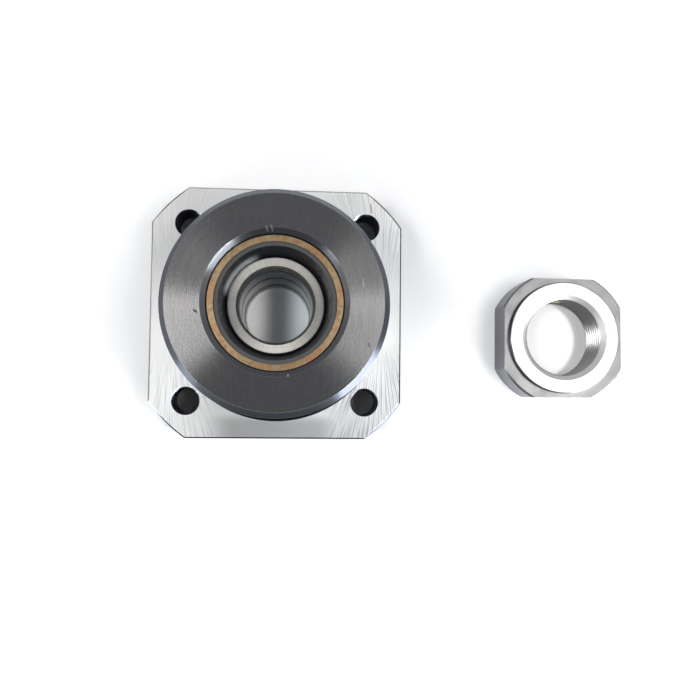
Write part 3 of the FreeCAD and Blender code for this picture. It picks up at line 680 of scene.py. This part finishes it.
side_dark, side_light = (0.135, 0.14, 0.15, 1), (0.18, 0.182, 0.188, 1)
land_light, land_dark = (0.195, 0.194, 0.197, 1), (0.145, 0.144, 0.145, 1)
face_light, face_dark = (0.44, 0.437, 0.43, 1), (0.37, 0.367, 0.36, 1)
crest_painted_shade, flank_painted_light = (0.17, 0.17, 0.17, 1), (0.42, 0.416, 0.41, 1)
sink_painted_light = (0.62, 0.615, 0.605, 1)
nut_steel, tree, shader, place = new_material(
    "bright_nut_steel", Metallic=1.0, Anisotropic=0.6, Anisotropic_Rotation=0.25)
centred = add(tree, "Mapping", {"Vector": place, "Location": (-nut_axis[0], -nut_axis[1], 0)}).outputs[0]
z, radius = split_place(tree, centred)[2:]
marks = effect(tree, turning, Vector=centred, Pitch=0.12 * mm)
film = effect(tree, patches, Vector=place, Size=3 * mm, Low=0.4, High=0.8)
raised_face = rise(tree, z, high.z - 0.06 * mm, high.z - 0.02 * mm)
land = between(tree, z, nut_foot + nut_step - 0.03 * mm, nut_foot + nut_step + 0.03 * mm, 0.02 * mm)
bore_wall = fall(tree, radius, thread_radius + 0.01 * mm, thread_radius + 0.05 * mm)
flank = between(tree, radius, crest_radius + 0.04 * mm, thread_radius - 0.1 * mm, 0.03 * mm)
sink = times(tree, rise(tree, z, high.z - sink_depth - blend, high.z - sink_depth),
             fall(tree, radius, sink_radius - 0.04 * mm, sink_radius))
colour = mix(tree, film, side_dark, side_light)
colour = mix(tree, land, colour, mix(tree, marks, land_light, land_dark))
colour = mix(tree, raised_face, colour, mix(tree, marks, face_light, face_dark))
# Painted light and shade on the thread: the flanks are painted light, the crests and roots painted shade.
colour = mix(tree, bore_wall, colour, mix(tree, flank, crest_painted_shade, flank_painted_light))
# Painted light: the countersink is paler than the raised face it is cut in.
colour = mix(tree, sink, colour, sink_painted_light)
tree.links.new(colour, shader["Base Color"])
tree.links.new(plus(tree, 0.28, times(tree, film, 0.08), times(tree, sink, 0.25)), shader["Roughness"])
turned = times(tree, marks, reckon(tree, "SUBTRACT", 1.0, bore_wall))
tree.links.new(bump(tree, turned, 0.0008 * mm), shader["Normal"])

spare_turns = 4
tap_points, tap_faces = tap_surface(thread_radius, thread_pitch, thread_sides, nut_foot - 2 * thread_pitch,
                                    int(nut_height / thread_pitch) + spare_turns)
nut = thread_bore("lock_nut_threaded", "lock_nut", (tap_points + [*nut_axis, 0], tap_faces))
finish_piece(nut, nut_steel, "lock_nut", crease=20)

# Nut lock
# A soft brass slug in the nut's cross hole, and behind it a set screw of black oxide steel.
# The screw presses the slug on the thread, so that the nut can't turn.
brass = make_turned_metal(
    "slug_brass", bright=(0.66, 0.50, 0.24, 1), dull=(0.45, 0.33, 0.15, 1), roughness=0.3,
    pitch=0.1 * mm, depth=0.0006 * mm, spread=0.2)
wear("nut_slug", brass)

set_radius, set_flats, set_depth = 1.5 * mm, 1.5 * mm, 1.2 * mm
set_drill_radius, set_drill_depth = 0.3 * mm, 0.15 * mm
low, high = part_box("nut_set_screw")
set_length = high.y - low.y
set_chamfer = set_radius / 5
threaded = np.arange(set_chamfer, set_length - set_chamfer, screw_pitch / 10)
socket_floor = [(set_drill_radius, set_depth + set_drill_depth, 0.0), (0.0, set_depth, 1.0)]
head = [(0.0, 0.0, 1.0), (set_radius - set_chamfer, 0.0, 0.0)]
shank = [(set_radius, height, 0.0) for height in threaded]
tip = [(set_radius, set_length - set_chamfer, 0.0), (set_radius - set_chamfer, set_length, 0.0)]
set_screw, set_faces = close_rings(screw_rings(
    socket_floor + head + shank + tip, set_flats, screw_pitch, screw_sides, set_chamfer,
    set_length - set_chamfer))
upright = np.stack([set_screw[:, 0], -set_screw[:, 2], set_screw[:, 1]], axis=-1)
set_place = np.array([(low.x + high.x) / 2, high.y, (low.z + high.z) / 2])
make_screws("nut_set_screw_threaded", [(upright + set_place, set_faces)], "nut_set_screw")

# Table, light and camera
# A plain white surface under the back of the flange. Two large soft lights stand high on the right and
# high on the left, and two low ones at the near right and near left. The camera looks down from above.
half_floor = 1.5
floor_mesh = bpy.data.meshes.new("floor")
floor_mesh.from_pydata([(-half_floor, -half_floor, foot), (half_floor, -half_floor, foot),
                        (half_floor, half_floor, foot), (-half_floor, half_floor, foot)], [], [(0, 1, 2, 3)])
floor = bpy.data.objects.new("floor", floor_mesh)
bpy.context.scene.collection.objects.link(floor)

# The paper glows a little where the camera or a reflection sees it: evenly in the open round the unit, less
# near the nut, which is painted shade there; through the bore as painted light, brighter at the sides than in
# the middle and bluish at the right; and inside the nut as painted light on a disc set to the left, which
# leaves a painted shadow at the right.
white, bluish = (1, 1, 1, 1), (0.83, 0.95, 1, 1)
paper, tree, shader, place = new_material("white_paper", Base_Color=(0.93, 0.93, 0.935, 1), Roughness=0.9,
                                          Specular_IOR_Level=0.1)
x, y, z, radius = split_place(tree, place)
x_size, y_size = unsigned(tree, x), unsigned(tree, y)
from_nut = add(tree, "Mapping", {"Vector": place, "Location": (3 * mm - nut_axis[0], -nut_axis[1], 0)})
nut_distance = split_place(tree, from_nut.outputs[0])[3]
in_bore = fall(tree, radius, bearing_bore - 0.4 * mm, bearing_bore)
beside = rise(tree, x_size, 0.5 * mm, 4.5 * mm, start=0.055, end=0.33)
painted_light_in_nut = fall(tree, nut_distance, thread_radius - 0.3 * mm, thread_radius + 0.6 * mm, start=0.4)
outside = rise(tree, largest(tree, x_size, y_size), 18.5 * mm, 22.5 * mm)
open_ground = times(tree, outside, rise(tree, nut_distance, 10 * mm, 15 * mm, start=0.14, end=0.27))
glow = plus(tree, open_ground, times(tree, in_bore, beside), painted_light_in_nut)
path = add(tree, "LightPath").outputs
seen = largest(tree, path["Is Glossy Ray"], path["Is Transmission Ray"], path["Is Camera Ray"])
painted_blue_light = times(tree, in_bore, rise(tree, x, -3 * mm, 2 * mm))
tree.links.new(mix(tree, painted_blue_light, white, bluish), shader["Emission Color"])
tree.links.new(times(tree, seen, glow), shader["Emission Strength"])
floor_mesh.materials.append(paper)

# The surroundings are brightest at the height of the horizon and at the far side.
world = bpy.data.worlds.new("studio")
world.use_nodes = True
tree = world.node_tree
background = tree.nodes["Background"]
background.inputs["Color"].default_value = (0.93, 0.96, 1.0, 1)
y, z = split_place(tree, add(tree, "TexCoord").outputs["Generated"])[1:3]
strength = plus(tree, rise(tree, z, 0.12, 0.5, start=0.75, end=0.24), rise(tree, y, 0.1, 0.8, end=0.4))
tree.links.new(strength, background.inputs["Strength"])
bpy.context.scene.world = world


def add_light(name, location, width, height, radiance, colour):
    """A soft oblong light that faces the unit; its power is radiance times area times pi."""
    lamp = bpy.data.lights.new(name, "AREA")
    lamp.shape, lamp.size, lamp.size_y = "RECTANGLE", width, height
    lamp.energy, lamp.color = radiance * width * height * math.pi, colour
    light = bpy.data.objects.new(name, lamp)
    bpy.context.scene.collection.objects.link(light)
    light.location = location
    light.rotation_euler = Vector(location).to_track_quat("Z", "Y").to_euler()
    light.visible_camera = False


daylight = (0.9, 0.945, 1.0)
add_light("key", (0.19, -0.014, 0.40), width=0.17, height=0.125, radiance=6.7, colour=(1.0, 0.99, 0.97))
add_light("fill", (-0.20, -0.014, 0.40), width=0.16, height=0.09, radiance=13.2, colour=(1.0, 0.99, 0.98))
add_light("low_light", (0.285, -0.21, 0.026), width=0.2, height=0.03, radiance=205.0, colour=daylight)
add_light("left_low_light", (-0.29, -0.2, 0.026), width=0.09, height=0.03, radiance=60.0, colour=daylight)

# The camera's place and lens are fitted to the flange's corners and holes in the photograph.
lens_pixels, frame_pixels, sensor = 769.1, 700, 36
camera_data = bpy.data.cameras.new("camera")
camera_data.sensor_width = sensor
camera_data.lens = lens_pixels / frame_pixels * sensor
camera_data.clip_start, camera_data.clip_end = 0.01, 10
camera = bpy.data.objects.new("camera", camera_data)
bpy.context.scene.collection.objects.link(camera)
camera.location = (0.002127, -0.013729, 0.135274)
camera.rotation_euler = (0.0537, -0.0805, 0.0109)
bpy.context.scene.camera = camera
bpy.context.scene.view_settings.view_transform = "Standard"

bpy.context.view_layer.update()
